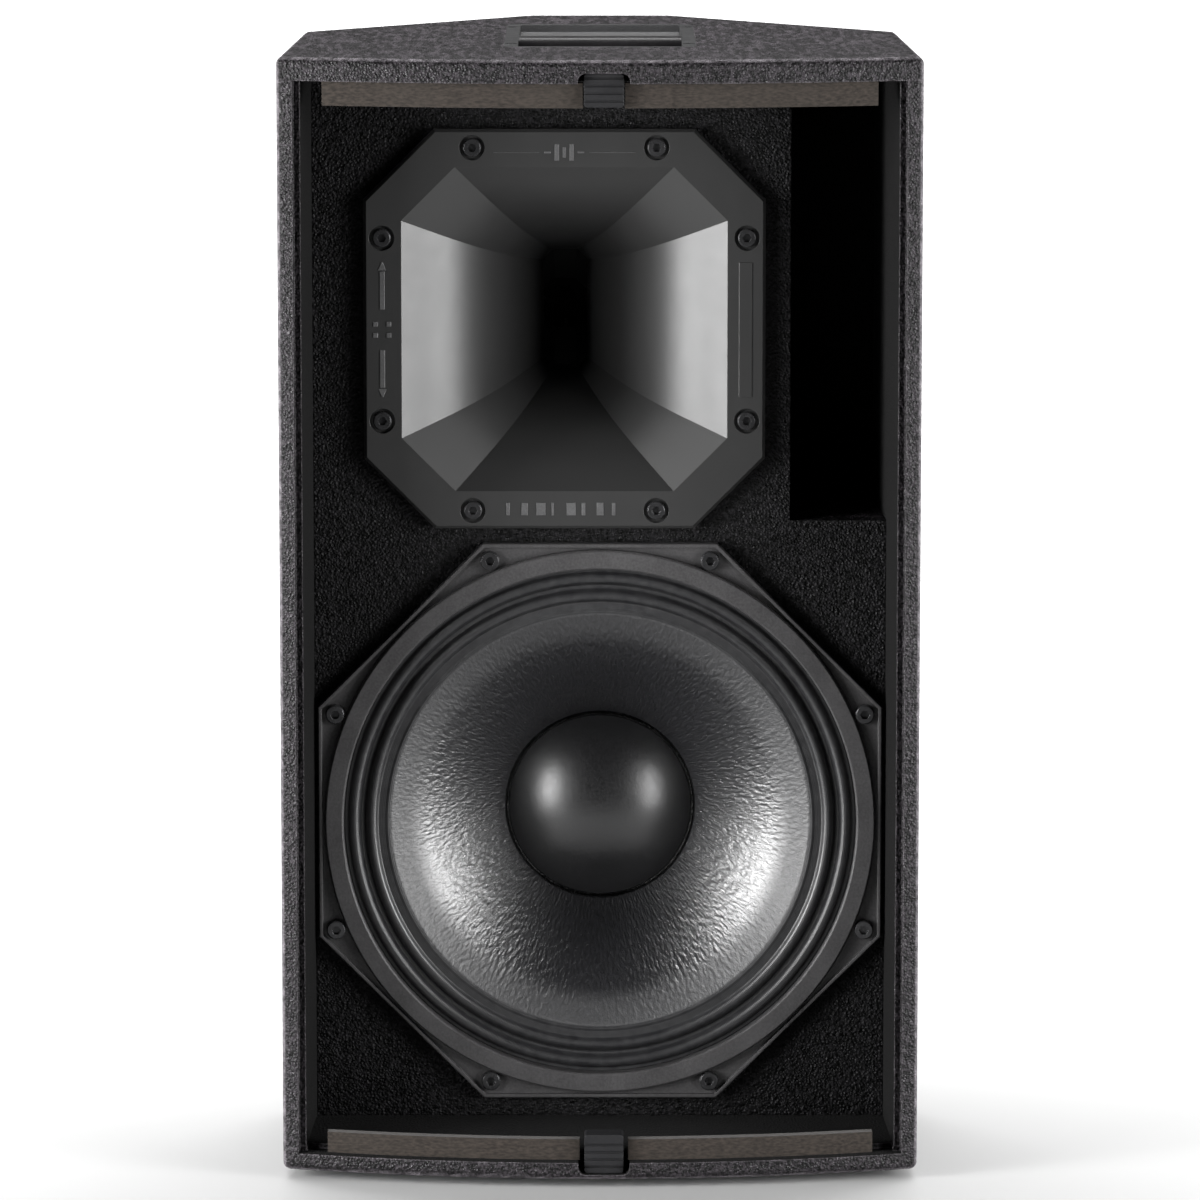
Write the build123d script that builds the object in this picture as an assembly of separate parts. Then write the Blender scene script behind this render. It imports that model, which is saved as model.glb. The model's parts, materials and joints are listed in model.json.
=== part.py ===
from build123d import *
import os
from math import atan2, cos, degrees, hypot, pi, radians, sin, sqrt, tan

# Two-way PA loudspeaker cabinet with a 15-inch woofer, a rotatable horn and a slot port.
# Millimetres. X runs to the right, Y to the rear and Z up; the origin is under the middle
# of the cabinet on the surface that its rubber feet stand on.

# ---- driving dimensions: enclosure ----
CABINET_WIDTH = 410
BODY_HEIGHT = 720
FOOT_HEIGHT = 6
OVERALL_DEPTH = 400
FRONT_BOW = 30            # how far the middle of the front edge stands ahead of its ends
PANEL = 15                # plywood thickness
EDGE_RADIUS = 5           # rounding of the outer edges
SIDE_REAR_CORNER = (196.5, 45)
REAR_CORNER = (48, 197)
BAFFLE_FRONT = -78
BAFFLE_BACK = BAFFLE_FRONT + PANEL
PORT_PANEL = 12
PORT_LEFT = 123.5
PORT_BOTTOM = 417
PORT_BACK = 38

# ---- driving dimensions: woofer, its axis parallel to Y ----
WOOFER = (0, 219)         # x and z of the axis
WOOFER_FLANGE_HALF = 184
WOOFER_BOLT_RADIUS = 187
WOOFER_CUTOUT = 176
GASKET = 1.5

# ---- driving dimensions: horn and compression driver, axis parallel to Y ----
HORN = (-23, 543)
HORN_FLANGE_HALF = 130
HORN_MOUTH_HALF = 105.4
HORN_MOUTH_EDGE = 70.7
HORN_FRONT = -88
THROAT_SLOT_Y = 45
THROAT_END_Y = 70
THROAT_RADIUS = 18

# ---- driving dimensions: fittings ----
POLE_RADIUS = 18
POLE_CENTRE_Y = 15
CATCH_X = 2.5
CONNECTOR_Z = 200
RIGGING_RADIUS = 5
RIGGING_Y = -10
RIGGING_HEIGHTS = (120, 385)
FOOT_PLACES = ((172, -125), (-172, -125), (80, 125), (-80, 125))

# ---- derived from the driving dimensions ----
HALF_WIDTH = CABINET_WIDTH / 2
FRONT_MIDDLE = -OVERALL_DEPTH / 2
FRONT_END = FRONT_MIDDLE + FRONT_BOW
TOP = FOOT_HEIGHT + BODY_HEIGHT
CAVITY_LOW = FOOT_HEIGHT + PANEL
CAVITY_HIGH = TOP - PANEL
REBATE_LOW = CAVITY_LOW - 3.5
STRIP_FRONT = 9              # how far the mounting strips stand behind the front edge
STRIP_BACK = 17
BASKET_BACK = BAFFLE_FRONT - GASKET
TAPER = atan2(HALF_WIDTH - SIDE_REAR_CORNER[0], SIDE_REAR_CORNER[1] - FRONT_END)


# ---- drawing helpers ----
def outline(points):
    """A flat face inside the closed run of points."""
    return make_face(Polyline(*points, close=True))


def mirrored(part):
    """The same part on the other side of the middle plane."""
    return mirror(part, about=Plane.YZ)


def block(low, high):
    """A box between two opposite corners."""
    size = [b - a for a, b in zip(low, high)]
    middle = [(a + b) / 2 for a, b in zip(low, high)]
    return Pos(*middle) * Box(*size)


def upright(face, low, high):
    """A plan face raised from height low to height high."""
    return Pos(0, 0, low) * extrude(face, high - low)


def slab(face, front, back):
    """A face drawn in x and z, filled from y = front to y = back."""
    return Pos(0, back, 0) * extrude(Plane.XZ * face, back - front)


def turned(edges, centre):
    """A solid turned about the Y-parallel axis through centre, from an outline in (radius, y)."""
    face = outline(edges) if isinstance(edges[0], tuple) else make_face(edges)
    return Pos(centre[0], 0, centre[1]) * revolve(face, Axis.Y)


def tube(centre, inner, outer, front, back):
    """A plain ring about a Y-parallel axis."""
    return turned([(inner, front), (outer, front), (outer, back), (inner, back)], centre)


def rod(centre, radius, front, back):
    """A plain round rod about a Y-parallel axis."""
    return slab(Pos(*centre) * Circle(radius), front, back)


def octagon(centre, half_x, half_z, edge_x, edge_z):
    """Eight corners: half sizes, and half lengths of the straight top and side edges."""
    upper = [(half_x, edge_z), (edge_x, half_z), (-edge_x, half_z), (-half_x, edge_z)]
    lower = [(-x, -z) for x, z in upper]
    return outline([(centre[0] + x, centre[1] + z) for x, z in upper + lower])


def ring_places(centre, radius, count, first_degrees):
    """Evenly spaced (x, z) places on a circle."""
    step = 360 / count
    angles = [radians(first_degrees + step * index) for index in range(count)]
    return [(centre[0] + radius * cos(a), centre[1] + radius * sin(a)) for a in angles]


def together(parts):
    """Separate solids kept in one node."""
    return Compound(children=[solid for part in parts for solid in part.solids()])


def machine_screw(place, head_front, head_radius, head_height, shank_radius, tip):
    """A socket-head screw along Y, its head towards the front."""
    seat = head_front + head_height
    head = rod(place, head_radius, head_front, seat)
    shank = rod(place, shank_radius, seat, tip)
    hexagon = Pos(*place) * RegularPolygon(head_radius * 0.5, 6)
    key = slab(hexagon, head_front, head_front + head_height * 0.6)
    rim = head.edges().group_by(Axis.Y)[0]
    return chamfer(rim, head_radius * 0.12) + shank - key


# ---- enclosure ----
def line_meeting(a, b, c, d):
    """Where the line through a and b meets the line through c and d."""
    first = (b[0] - a[0], b[1] - a[1])
    second = (d[0] - c[0], d[1] - c[1])
    across = first[0] * second[1] - first[1] * second[0]
    along = ((c[0] - a[0]) * second[1] - (c[1] - a[1]) * second[0]) / across
    return (a[0] + first[0] * along, a[1] + first[1] * along)


def moved_inward(a, b, distance):
    """The line a-b moved to its left by distance, for walls drawn front to rear on the right side."""
    length = hypot(b[0] - a[0], b[1] - a[1])
    shift = (-(b[1] - a[1]) / length * distance, (b[0] - a[0]) / length * distance)
    return (a[0] + shift[0], a[1] + shift[1]), (b[0] + shift[0], b[1] + shift[1])


WALL_LINE = [(HALF_WIDTH, FRONT_END), SIDE_REAR_CORNER, REAR_CORNER, (-REAR_CORNER[0], REAR_CORNER[1])]


def wall_corners(distance):
    """The two right-hand corners of the walls' line, moved inward by distance."""
    lines = [moved_inward(a, b, distance) for a, b in zip(WALL_LINE, WALL_LINE[1:])]
    return [line_meeting(*lines[0], *lines[1]), line_meeting(*lines[1], *lines[2])]


def wall_half_width(y, distance):
    """Half the width between the side walls at a depth y, moved inward by distance."""
    return HALF_WIDTH - (y - FRONT_END) * tan(TAPER) - distance / cos(TAPER)


def front_arc(setback):
    """The bowed front edge, moved back by setback."""
    ends_y = FRONT_END + setback
    return ThreePointArc((-HALF_WIDTH, ends_y), (0, FRONT_MIDDLE + setback), (HALF_WIDTH, ends_y))


def outer_body():
    """The whole cabinet as one rounded block."""
    right = [(HALF_WIDTH, FRONT_END), SIDE_REAR_CORNER, REAR_CORNER]
    walls = Polyline(*right, *[(-x, y) for x, y in reversed(right)])
    plan = make_face(front_arc(0).edges() + walls.edges())
    body = upright(plan, FOOT_HEIGHT, TOP)
    return fillet(body.edges(), EDGE_RADIUS)


def cavity(low=CAVITY_LOW, high=CAVITY_HIGH):
    """The space between the walls, open past the front edge."""
    ahead = FRONT_MIDDLE - 40
    side, rear = wall_corners(PANEL)
    right = [(wall_half_width(ahead, PANEL), ahead), side, rear]
    return upright(outline(right + [(-x, y) for x, y in reversed(right)]), low, high)


def ahead_of_front(setback):
    """Everything ahead of the front edge moved back by setback."""
    far = FRONT_MIDDLE - 60
    ends_y = FRONT_END + setback
    sides = Polyline((-HALF_WIDTH, ends_y), (-HALF_WIDTH, far), (HALF_WIDTH, far), (HALF_WIDTH, ends_y))
    return upright(make_face(front_arc(setback).edges() + sides.edges()), 0, TOP)


def front_rebate():
    """The step at the sides and bottom of the front opening that the grille's edge drops into."""
    side, side_depth = 4.5, 8
    wide = wall_half_width(FRONT_END, PANEL) + side
    narrow = wall_half_width(FRONT_END + STRIP_BACK + 1, PANEL)
    across = block((-wide, FRONT_MIDDLE - 50, REBATE_LOW), (wide, 0, CAVITY_HIGH))
    below = block((-narrow, FRONT_MIDDLE - 50, REBATE_LOW), (narrow, 0, CAVITY_LOW))
    return (across & ahead_of_front(side_depth)) + (below & ahead_of_front(STRIP_BACK + 1))


def catch_notch(low, high):
    """The finger notch in a panel's front edge that a grille catch sits in."""
    half, back, corner = 16.5, FRONT_MIDDLE + 22, 5
    notch = block((CATCH_X - half, FRONT_MIDDLE - 20, low), (CATCH_X + half, back, high))
    return fillet(notch.edges().filter_by(Axis.Y), corner)


def mitre_zone(first, second):
    """A plan region that holds one wall, from the mitre at first to the mitre at second."""
    stretched = []
    for outer, inner in (first, second):
        across = (outer[0] - inner[0], outer[1] - inner[1])
        stretched.append((outer[0] + across[0], outer[1] + across[1]))
        stretched.append((inner[0] - across[0], inner[1] - across[1]))
    outer_a, inner_a, outer_b, inner_b = stretched
    return upright(outline([inner_a, outer_a, outer_b, inner_b]), CAVITY_LOW, CAVITY_HIGH)


def rigging_place(height):
    """The frame of a rigging insert: on the right wall's outer face, X pointing outward."""
    return Pos(wall_half_width(RIGGING_Y, 0), RIGGING_Y, height) * Rot(0, 0, degrees(TAPER))


def rigging_holes():
    """Holes through the right wall for the rigging inserts."""
    return [rigging_place(z) * Rot(0, 90, 0) * Cylinder(7, 4 * PANEL) for z in RIGGING_HEIGHTS]


def enclosure_panels():
    """The seven outer panels, mitred where the walls meet."""
    shell = outer_body() - cavity() - front_rebate()
    outer_side, outer_rear = WALL_LINE[1], WALL_LINE[2]
    inner_side, inner_rear = wall_corners(PANEL)
    front_outer = (HALF_WIDTH, FRONT_MIDDLE - 20)
    front_inner = (wall_half_width(FRONT_END, PANEL), FRONT_MIDDLE - 20)
    side = shell & mitre_zone((front_outer, front_inner), (outer_side, inner_side))
    for hole in rigging_holes():
        side -= hole
    angled = shell & mitre_zone((outer_side, inner_side), (outer_rear, inner_rear))
    left_mitre = ((-outer_rear[0], outer_rear[1]), (-inner_rear[0], inner_rear[1]))
    rear = shell & mitre_zone((outer_rear, inner_rear), left_mitre)
    rear -= connector_cutout()
    above = block((-300, -300, CAVITY_HIGH), (300, 300, TOP + 10))
    below = block((-300, -300, 0), (300, 300, CAVITY_LOW))
    top = (shell & above) - handle_cutout() - catch_notch(CAVITY_HIGH - 20, CAVITY_HIGH + 6.5)
    bottom = (shell & below) - catch_notch(CAVITY_LOW - 11.5, CAVITY_LOW + 20)
    bottom -= pole_cutout()
    for x, y in FOOT_PLACES:
        bottom -= Pos(x, y, FOOT_HEIGHT) * Cylinder(2, 26)
    for x, y in pole_screw_places():
        bottom -= Pos(x, y, FOOT_HEIGHT) * Cylinder(2.3, 26)
    for x, y in handle_screw_places():
        top -= Pos(x, y, TOP) * Cylinder(2.1, 40)
    for place in dish_screw_places():
        rear -= rod(place, 2, REAR_FACE - 14, REAR_FACE + 5)
    return {
        "cabinet_top": top,
        "cabinet_bottom": bottom,
        "cabinet_side_right": side,
        "cabinet_side_left": mirrored(side),
        "cabinet_rear_right": angled,
        "cabinet_rear_left": mirrored(angled),
        "cabinet_rear": rear,
    }


def front_baffle():
    """The board that carries both drivers, cut away for the slot port."""
    board = cavity() & block((-300, BAFFLE_FRONT, 0), (300, BAFFLE_BACK, TOP))
    board -= block((PORT_LEFT, BAFFLE_FRONT - 5, PORT_BOTTOM), (300, BAFFLE_BACK + 5, TOP))
    board -= rod(WOOFER, WOOFER_CUTOUT, BAFFLE_FRONT - 5, BAFFLE_BACK + 5)
    board -= slab(octagon(HORN, 110, 110, 74, 74), BAFFLE_FRONT - 5, BAFFLE_BACK + 5)
    for place in woofer_bolt_places():
        board -= rod(place, 3, BAFFLE_FRONT - 5, BAFFLE_BACK + 5)
    for place in horn_screw_places():
        board -= rod(place, 2.5, BAFFLE_FRONT - 5, BAFFLE_BACK + 5)
    return board


def port_panels():
    """The inner wall and the floor of the slot port; the cabinet makes its other two sides."""
    wall = block((PORT_LEFT - PORT_PANEL, BAFFLE_BACK, PORT_BOTTOM), (PORT_LEFT, PORT_BACK, CAVITY_HIGH))
    floor_zone = block((PORT_LEFT - PORT_PANEL, BAFFLE_BACK, 0), (300, PORT_BACK, TOP))
    floor = cavity(PORT_BOTTOM - PORT_PANEL, PORT_BOTTOM) & floor_zone
    return {"port_wall": wall, "port_floor": floor}


def damping_pads():
    """Wadding on the inside of both angled rear panels."""
    trim, thickness = 0.15, 14
    near, far = wall_corners(PANEL + 0.5)
    near_in, far_in = wall_corners(PANEL + thickness)

    def between(a, b, share):
        return (a[0] + (b[0] - a[0]) * share, a[1] + (b[1] - a[1]) * share)

    plan = [between(near, far, trim), between(near, far, 1 - trim)]
    plan += [between(near_in, far_in, 1 - trim), between(near_in, far_in, trim)]
    pad = upright(outline(plan), 70, 400)
    return together([pad, mirrored(pad)])


# ---- front trim ----
def strip_pair(low, high, gap):
    """Two upright strips that follow the bowed front edge on either side of a catch."""
    end = 176
    band = ahead_of_front(STRIP_BACK) - ahead_of_front(STRIP_FRONT)
    left = band & block((-end, -300, low), (CATCH_X - gap, 0, high))
    right = band & block((CATCH_X + gap, -300, low), (end, 0, high))
    return together([left, right])


def grille_catch(low, high):
    """A ribbed rubber block that grips the middle of the grille's edge."""
    half, rib, groove = 12.5, 3.2, 1.6
    front, back = FRONT_MIDDLE + 4, FRONT_MIDDLE + 20
    body = block((CATCH_X - half, front, low), (CATCH_X + half, back, high))
    body = fillet(body.edges().filter_by(Axis.Y), 2)
    level = low + rib
    while level + groove < high - 1:
        body -= block((CATCH_X - 20, front - 5, level), (CATCH_X + 20, front + 1.6, level + groove))
        level += rib + groove
    return body


# ---- woofer ----
def woofer_bolt_places():
    return ring_places(WOOFER, WOOFER_BOLT_RADIUS, 8, 22.5)


def woofer_octagon(half):
    edge = half * tan(pi / 8)
    return octagon(WOOFER, half, half, edge, edge)


def woofer_basket():
    """Cast frame: octagonal flange with bolt pockets, raised ring, six arms and a bottom pot."""
    pocket_floor, rim_front, ring_front = -84, -87.5, -90
    ledge_front, seat_radius, ring_outer = -80.5, 167.5, 180
    plate = slab(woofer_octagon(WOOFER_FLANGE_HALF), rim_front, BASKET_BACK)
    flange = chamfer(plate.edges().group_by(Axis.Y)[0], 0.7)
    flange -= slab(woofer_octagon(WOOFER_FLANGE_HALF - 2.5), rim_front - 1, pocket_floor)
    ring = [(seat_radius, ring_front + 1), (seat_radius + 1, ring_front), (ring_outer - 1.2, ring_front)]
    ring += [(ring_outer, ring_front + 1.2), (ring_outer, BASKET_BACK), (seat_radius, BASKET_BACK)]
    flange += turned(ring, WOOFER)
    flange -= rod(WOOFER, seat_radius, ring_front - 1, BASKET_BACK + 1)
    for place in woofer_bolt_places():
        flange -= rod(place, 3.2, ring_front, BASKET_BACK + 1)
    wall = [(158, ledge_front), (173, ledge_front), (173, -64), (98, 18), (98, 28), (58, 28), (58, 22)]
    wall += [(84, 22), (84, 4), (103, 4), (166, -64), (166, -76), (158, -76)]
    basket = flange + turned(wall, WOOFER)
    half_angle = radians(22)
    for index in range(6):
        turn = radians(60 * index)
        points = [(104, -half_angle), (104, half_angle), (190, half_angle), (190, -half_angle)]
        window = [(WOOFER[0] + r * cos(turn + a), WOOFER[1] + r * sin(turn + a)) for r, a in points]
        basket -= slab(outline(window), -58, 3)
    return basket


SURROUND_PLANE = -81.5
SURROUND_THICKNESS = 1.0


def surround_line(shift):
    """The double roll seen in section, as a chain of edges from the frame in to the cone."""
    flat = SURROUND_PLANE + shift
    crest = flat - 3.2
    valley = flat + 1.5
    return [
        Line((167, flat), (164.5, flat)),
        ThreePointArc((164.5, flat), (160.75, crest), (157, flat)),
        ThreePointArc((157, flat), (155, valley), (153, flat)),
        ThreePointArc((153, flat), (149.25, crest), (145.5, flat)),
        Line((145.5, flat), (137.5, flat)),
    ]


def woofer_surround():
    edges = surround_line(0) + surround_line(SURROUND_THICKNESS)
    back = SURROUND_PLANE + SURROUND_THICKNESS
    edges += [Line((167, SURROUND_PLANE), (167, back)), Line((137.5, SURROUND_PLANE), (137.5, back))]
    return turned(edges_face(edges), WOOFER)


def edges_face(edges):
    """All the edges of a closed outline in one list."""
    chain = edges[0].edges()
    for edge in edges[1:]:
        chain = chain + edge.edges()
    return chain


CONE_EDGE_Y = SURROUND_PLANE + SURROUND_THICKNESS
CONE_FRONT = ((137, CONE_EDGE_Y), (92, -50), (52.4, -9))
CAP_RADIUS = 61.5
CAP_HEIGHT = 24
COIL_INNER = 50
COIL_OUTER = 50.6


def circle_through(a, b, c):
    """Centre and radius of the circle through three points."""
    bx, by, cx, cy = b[0] - a[0], b[1] - a[1], c[0] - a[0], c[1] - a[1]
    twice = 2 * (bx * cy - by * cx)
    ux = (cy * (bx * bx + by * by) - by * (cx * cx + cy * cy)) / twice
    uy = (bx * (cx * cx + cy * cy) - cx * (bx * bx + by * by)) / twice
    return a[0] + ux, a[1] + uy, hypot(ux, uy)


def cone_depth(radius):
    """The y of the cone's front surface at a radius."""
    centre_r, centre_y, bend = circle_through(*CONE_FRONT)
    rise = sqrt(bend * bend - (radius - centre_r) ** 2)
    return centre_y + rise if CONE_FRONT[1][1] > centre_y else centre_y - rise


def woofer_cone():
    """Curved paper cone with a flat glued edge and a neck that grips the coil former."""
    thick = 1.4
    edge, middle, neck = CONE_FRONT
    back = [(x + shift, y + thick) for (x, y), shift in zip((edge, middle, neck), (0.5, 1, 1))]
    edges = [
        Line((145.3, CONE_EDGE_Y), edge),
        ThreePointArc(edge, middle, neck),
        Line(neck, (COIL_OUTER, neck[1])),
        Line((COIL_OUTER, neck[1]), (COIL_OUTER, back[2][1])),
        Line((COIL_OUTER, back[2][1]), back[2]),
        ThreePointArc(*reversed(back)),
        Line(back[0], (145.3, back[0][1])),
        Line((145.3, back[0][1]), (145.3, CONE_EDGE_Y)),
    ]
    return turned(edges_face(edges), WOOFER)


def woofer_dust_cap():
    """Domed cap glued to the cone's front over the voice coil."""
    rim_y = cone_depth(CAP_RADIUS) - 0.3
    apex = rim_y - CAP_HEIGHT
    wall, inner = 1.2, CAP_RADIUS - 2.5
    inner_y = cone_depth(inner) - 0.3

    def dome(radius, edge_y, top_y):
        rise = edge_y - top_y
        bend = (radius * radius + rise * rise) / (2 * rise)
        middle = radius / 2
        return middle, top_y + bend - sqrt(bend * bend - middle * middle)

    edges = [
        ThreePointArc((0, apex), dome(CAP_RADIUS, rim_y, apex), (CAP_RADIUS, rim_y)),
        Line((CAP_RADIUS, rim_y), (inner, inner_y)),
        ThreePointArc((inner, inner_y), dome(inner, inner_y, apex + wall), (0, apex + wall)),
        Line((0, apex + wall), (0, apex)),
    ]
    return turned(edges_face(edges), WOOFER)


def woofer_voice_coil():
    """Coil former with its winding centred in the magnet gap."""
    former = tube(WOOFER, COIL_INNER, COIL_OUTER, -14, 46)
    winding = tube(WOOFER, COIL_OUTER, 51.6, 23, 43)
    return former + winding


def woofer_spider():
    """Corrugated centring disc between the former and the basket's inner ledge."""
    thick, inner, step, count = 0.8, 50.9, 4.4, 8
    front = [(inner, 0)]
    for index in range(1, count + 1):
        front.append((inner + step * index, 0.2 if index % 2 == 0 else 2.6))
    front += [(inner + step * (count + 0.4), 3.2), (100, 3.2)]
    back = [(r, y + thick) for r, y in reversed(front)]
    return turned(front + back, WOOFER)


def woofer_motor():
    """Steel top plate, ferrite ring and back plate with the vented pole."""
    top_plate = tube(WOOFER, 52.4, 98, 28, 38)
    magnet = tube(WOOFER, 62, 105, 38, 62)
    pole = [(15, 26), (48.6, 26), (48.6, 62), (98, 62), (98, 70), (94, 74), (15, 74)]
    return {
        "woofer_top_plate": top_plate,
        "woofer_magnet": magnet,
        "woofer_back_plate": turned(pole, WOOFER),
    }


def woofer_gasket():
    ring = tube(WOOFER, 176.5, 182.5, BASKET_BACK, BAFFLE_FRONT)
    for place in woofer_bolt_places():
        ring -= rod(place, 3.2, BASKET_BACK - 1, BAFFLE_FRONT + 1)
    return ring


def woofer_terminals():
    """Terminal block on the side of the basket's pot with two spring posts."""
    middle = WOOFER[1]
    body = block((-110, 18.5, middle - 14), (-90, 27.5, middle + 14)) - rod(WOOFER, 98, 18, 28)
    for z in (middle - 7, middle + 7):
        body += Pos(-112, 23, z) * Rot(0, 90, 0) * Cylinder(3.5, 8)
    return body


# ---- horn and compression driver ----
def horn_screw_places():
    """Eight places in a square layout, so the horn can be turned a quarter turn."""
    near, far = 59.5, 118
    places = []
    for sx in (-1, 1):
        for sz in (-1, 1):
            places.append((HORN[0] + sx * near, HORN[1] + sz * far))
            places.append((HORN[0] + sx * far, HORN[1] + sz * near))
    return places


def lofted(sections, ruled=True):
    """A solid through faces drawn in x and z at given depths, with flat or flared sides."""
    faces = [Plane.XZ.offset(-y) * face for face, y in sections]
    return loft(faces, ruled=ruled)


def flare_sections(grow):
    """Octagons from the horn's mouth to its slot; the walls open out strongly near the mouth."""
    mouth, slot = (HORN_MOUTH_HALF, HORN_MOUTH_EDGE), (14.4, 39, 7.9, 32.6)
    run, depth = mouth[0] - slot[0], THROAT_SLOT_Y - HORN_FRONT
    mouth_slope = 0.53
    edge_grow = grow * tan(pi / 8)
    sections = []
    for share in (0, 0.2, 0.4, 0.55, 0.7, 0.85, 1):
        half_x = mouth[0] + (slot[0] - mouth[0]) * share + grow
        half_z = mouth[0] + (slot[1] - mouth[0]) * share + grow
        edge_x = mouth[1] + (slot[2] - mouth[1]) * share + edge_grow
        edge_z = mouth[1] + (slot[3] - mouth[1]) * share + edge_grow
        back = mouth_slope * run * share + (depth - mouth_slope * run) * share ** 4
        sections.append((octagon(HORN, half_x, half_z, edge_x, edge_z), HORN_FRONT + back + grow))
    return sections


def horn():
    """Faceted constant-directivity horn: octagonal flange, eight flared walls and a slot throat."""
    wall, rear_flange = 2.6, 55
    half, flange_edge = HORN_FLANGE_HALF, 84
    flange = slab(octagon(HORN, half, half, flange_edge, flange_edge), HORN_FRONT, BASKET_BACK)
    flange = chamfer(flange.edges().group_by(Axis.Y)[0], 2)
    exit_half, exit_edge = THROAT_RADIUS * cos(pi / 8), THROAT_RADIUS * sin(pi / 8)
    exit_ring = octagon(HORN, exit_half, exit_half, exit_edge, exit_edge)
    neck_skin = octagon(HORN, THROAT_RADIUS + 6, THROAT_RADIUS + 6, 9.9, 9.9)
    inside, skin = flare_sections(0), flare_sections(wall)
    body = flange + lofted(skin, ruled=False)
    body += lofted([skin[-1], (neck_skin, THROAT_END_Y)])
    body += rod(HORN, rear_flange, THROAT_END_Y - 8, THROAT_END_Y)
    body -= lofted(inside, ruled=False)
    body -= lofted([inside[-1], (exit_ring, THROAT_END_Y)])
    for place in horn_screw_places():
        body -= rod(place, 8.2, HORN_FRONT - 1, HORN_FRONT + 3)
        body -= rod(place, 2.7, HORN_FRONT - 1, BASKET_BACK + 1)
    for place in driver_bolt_places():
        body -= rod(place, 3.2, THROAT_END_Y - 20, THROAT_END_Y + 1)
    return body


def horn_gasket():
    ring = slab(octagon(HORN, 129, 129, 83.5, 83.5), BASKET_BACK, BAFFLE_FRONT)
    ring -= slab(octagon(HORN, 110.5, 110.5, 74, 74), BASKET_BACK - 1, BAFFLE_FRONT + 1)
    for place in horn_screw_places():
        ring -= rod(place, 2.7, BASKET_BACK - 1, BAFFLE_FRONT + 1)
    return ring


def driver_bolt_places():
    return ring_places(HORN, 46, 4, 45)


DRIVER_PLATE_BACK = THROAT_END_Y + 10
DRIVER_MAGNET_BACK = DRIVER_PLATE_BACK + 18
DRIVER_TOP_BACK = DRIVER_MAGNET_BACK + 8
DOME_RIM = DRIVER_TOP_BACK + 2
DOME_RADIUS = 37.8
DOME_RISE = 11


def driver_plate():
    """Front plate with the pole; the throat widens through it towards the diaphragm."""
    plate = [(THROAT_RADIUS, THROAT_END_Y), (75, THROAT_END_Y), (75, DRIVER_PLATE_BACK)]
    plate += [(36, DRIVER_PLATE_BACK), (36, DRIVER_TOP_BACK), (27, DRIVER_TOP_BACK)]
    body = turned(plate, HORN)
    for place in driver_bolt_places():
        body -= rod(place, 3, THROAT_END_Y - 1, DRIVER_PLATE_BACK + 1)
    return body


def phase_plug():
    """Bullet held in the throat by four thin ribs."""
    front, back = DRIVER_PLATE_BACK, DRIVER_TOP_BACK + 4
    bullet = turned([(0, front), (8, front + 14), (23, back - 4), (20, back), (0, back + 4)], HORN)
    rib = block((-24.5, back - 12, -1), (24.5, back - 5, 1))
    cross = rib + Rot(0, 90, 0) * rib
    return bullet + Pos(HORN[0], 0, HORN[1]) * cross


def hf_diaphragm():
    """Thin metal dome that bulges to the rear."""
    thick = 0.6
    bend = (DOME_RADIUS ** 2 + DOME_RISE ** 2) / (2 * DOME_RISE)
    half = DOME_RADIUS / 2
    half_y = DOME_RIM + DOME_RISE - bend + sqrt(bend * bend - half * half)
    apex = DOME_RIM + DOME_RISE
    edges = [
        ThreePointArc((0, apex), (half, half_y), (DOME_RADIUS, DOME_RIM)),
        Line((DOME_RADIUS, DOME_RIM), (DOME_RADIUS, DOME_RIM + thick)),
        ThreePointArc((DOME_RADIUS, DOME_RIM + thick), (half, half_y + thick), (0, apex + thick)),
        Line((0, apex + thick), (0, apex)),
    ]
    return turned(edges_face(edges), HORN)


def compression_driver():
    """Every piece of the high-frequency driver, from the horn's flange to the back cover."""
    cover_wall, cover_back = 3, DRIVER_TOP_BACK + 28
    cover = [(62, DRIVER_TOP_BACK), (62, cover_back - 4), (58, cover_back), (0, cover_back)]
    cover += [(0, cover_back - cover_wall), (59, cover_back - cover_wall), (59, DRIVER_TOP_BACK)]
    bolts = []
    for place in driver_bolt_places():
        bolts.append(machine_screw(place, THROAT_END_Y - 14, 5, 6, 2.9, DRIVER_PLATE_BACK - 1))
    return {
        "hf_front_plate": driver_plate(),
        "hf_magnet": tube(HORN, 48, 75, DRIVER_PLATE_BACK, DRIVER_MAGNET_BACK),
        "hf_top_plate": tube(HORN, 38.8, 72, DRIVER_MAGNET_BACK, DRIVER_TOP_BACK),
        "hf_phase_plug": phase_plug(),
        "hf_diaphragm": hf_diaphragm(),
        "hf_voice_coil": tube(HORN, 36.9, DOME_RADIUS, DRIVER_MAGNET_BACK - 1, DOME_RIM - 0.02),
        "hf_surround": tube(HORN, DOME_RADIUS + 0.1, 44, DOME_RIM, DOME_RIM + 0.5),
        "hf_clamp_ring": tube(HORN, 44, 57, DRIVER_TOP_BACK, DRIVER_TOP_BACK + 5),
        "hf_back_cover": turned(cover, HORN),
        "hf_driver_bolts": together(bolts),
    }


# ---- handle, pole socket, feet and rigging ----
HANDLE_HALF = 62
HANDLE_FRONT = -91
HANDLE_REAR = 110
HANDLE_FLANGE = 3
POCKET_FLOOR = 664
HANDLE_WALL = 3


def rounded_plan(half, front, rear, radius):
    shape = RectangleRounded(2 * half, rear - front, radius)
    return Pos(0, (front + rear) / 2) * shape


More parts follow.
